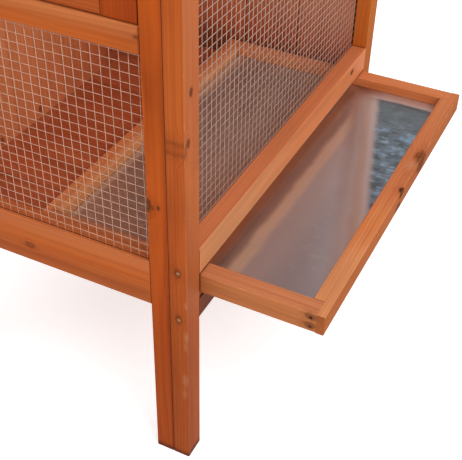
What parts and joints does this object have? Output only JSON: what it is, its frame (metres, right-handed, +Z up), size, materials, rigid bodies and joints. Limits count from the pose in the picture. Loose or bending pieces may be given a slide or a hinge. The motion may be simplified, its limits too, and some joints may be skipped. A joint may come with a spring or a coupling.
{
  "type": "aviary",
  "caption": "Tall free-standing timber aviary on legs, with welded mesh front and side, a hinged mesh door with a turn button, boarded walls, a felted roof and a sliding litter tray.",
  "frame": {"origin": "on the ground, in the middle of the whole object's box, with the tray drawn out", "axes": "+Z up, +Y from the door to the back, +X towards the side that the tray slides out of"},
  "size_m": [0.674, 0.7577, 1.458],
  "materials": {
    "frame_timber": "sawn fir with an orange-brown stain, satin",
    "boards": "planed fir boards with a red-brown stain, satin",
    "roof_trim": "planed fir with an orange-brown stain, satin",
    "perches": "bare beech, matt",
    "tray_timber": "sawn fir with an orange-brown stain, satin",
    "door_timber": "planed fir with an orange-brown stain, satin",
    "wire_mesh": "galvanised welded wire",
    "tray_sheet": "galvanised sheet, bright with a faint spangle",
    "hinges": "zinc-plated pressed steel",
    "screws": "zinc-plated steel",
    "felt": "bitumen roofing felt with mineral grit"
  },
  "bodies": {
    "cabinet": {"front_stile_right": "frame_timber", "front_stile_left": "frame_timber", "front_bottom_rail": "frame_timber", "front_mid_rail": "frame_timber", "front_top_rail": "frame_timber", "right_front_stile": "frame_timber", "right_back_stile": "frame_timber", "right_bottom_rail": "frame_timber", "right_tray_rail": "frame_timber", "right_mid_rail": "frame_timber", "right_top_rail": "frame_timber", "left_front_stile": "frame_timber", "left_back_stile": "frame_timber", "left_bottom_rail": "frame_timber", "left_mid_rail": "frame_timber", "left_top_rail": "frame_timber", "back_stile_right": "frame_timber", "back_stile_left": "frame_timber", "back_bottom_rail": "frame_timber", "back_top_rail": "frame_timber", "left_boards": "boards", "back_boards": "boards", "floor_boards": "boards", "roof_boards": "boards", "roof_felt": "felt", "roof_trim_front": "roof_trim", "roof_trim_back": "roof_trim", "roof_trim_left": "roof_trim", "roof_trim_right": "roof_trim", "perch_front": "perches", "perch_back": "perches", "perch_holders": "perches", "front_mesh": "wire_mesh", "right_mesh": "wire_mesh", "hinge_frame_leaf_upper": "hinges", "hinge_frame_leaf_lower": "hinges", "hinge_pin_upper": "hinges", "hinge_pin_lower": "hinges", "frame_screws": "screws", "corner_screws": "screws", "hinge_frame_screws": "screws", "button_screw": "screws"},
    "tray": {"tray_front_bar": "tray_timber", "tray_back_bar": "tray_timber", "tray_outer_bar": "tray_timber", "tray_inner_bar": "tray_timber", "tray_sheet": "tray_sheet", "tray_nails": "screws"},
    "door": {"door_stile_left": "door_timber", "door_stile_right": "door_timber", "door_bottom_rail": "door_timber", "door_top_rail": "door_timber", "door_mesh": "wire_mesh", "door_knob": "door_timber", "hinge_door_leaf_upper": "hinges", "hinge_door_leaf_lower": "hinges", "door_screws": "screws", "knob_screw": "screws", "hinge_door_screws": "screws"},
    "button": {"turn_button": "door_timber"}
  },
  "joints": [
    {"name": "tray_slide", "type": "slide", "parent": "cabinet", "child": "tray", "axis": [1, 0, 0], "range_m": [-0.169, 0.12]},
    {"name": "door_hinge", "type": "hinge", "parent": "cabinet", "child": "door", "pos_m": [-0.23875, -0.336, 1.022], "axis": [0, 0, -1], "range_deg": [0, 110]},
    {"name": "button_turn", "type": "hinge", "parent": "cabinet", "child": "button", "pos_m": [0.1295, -0.3368, 1.142], "axis": [0, 1, 0], "range_deg": [-90, 90]}
  ]
}
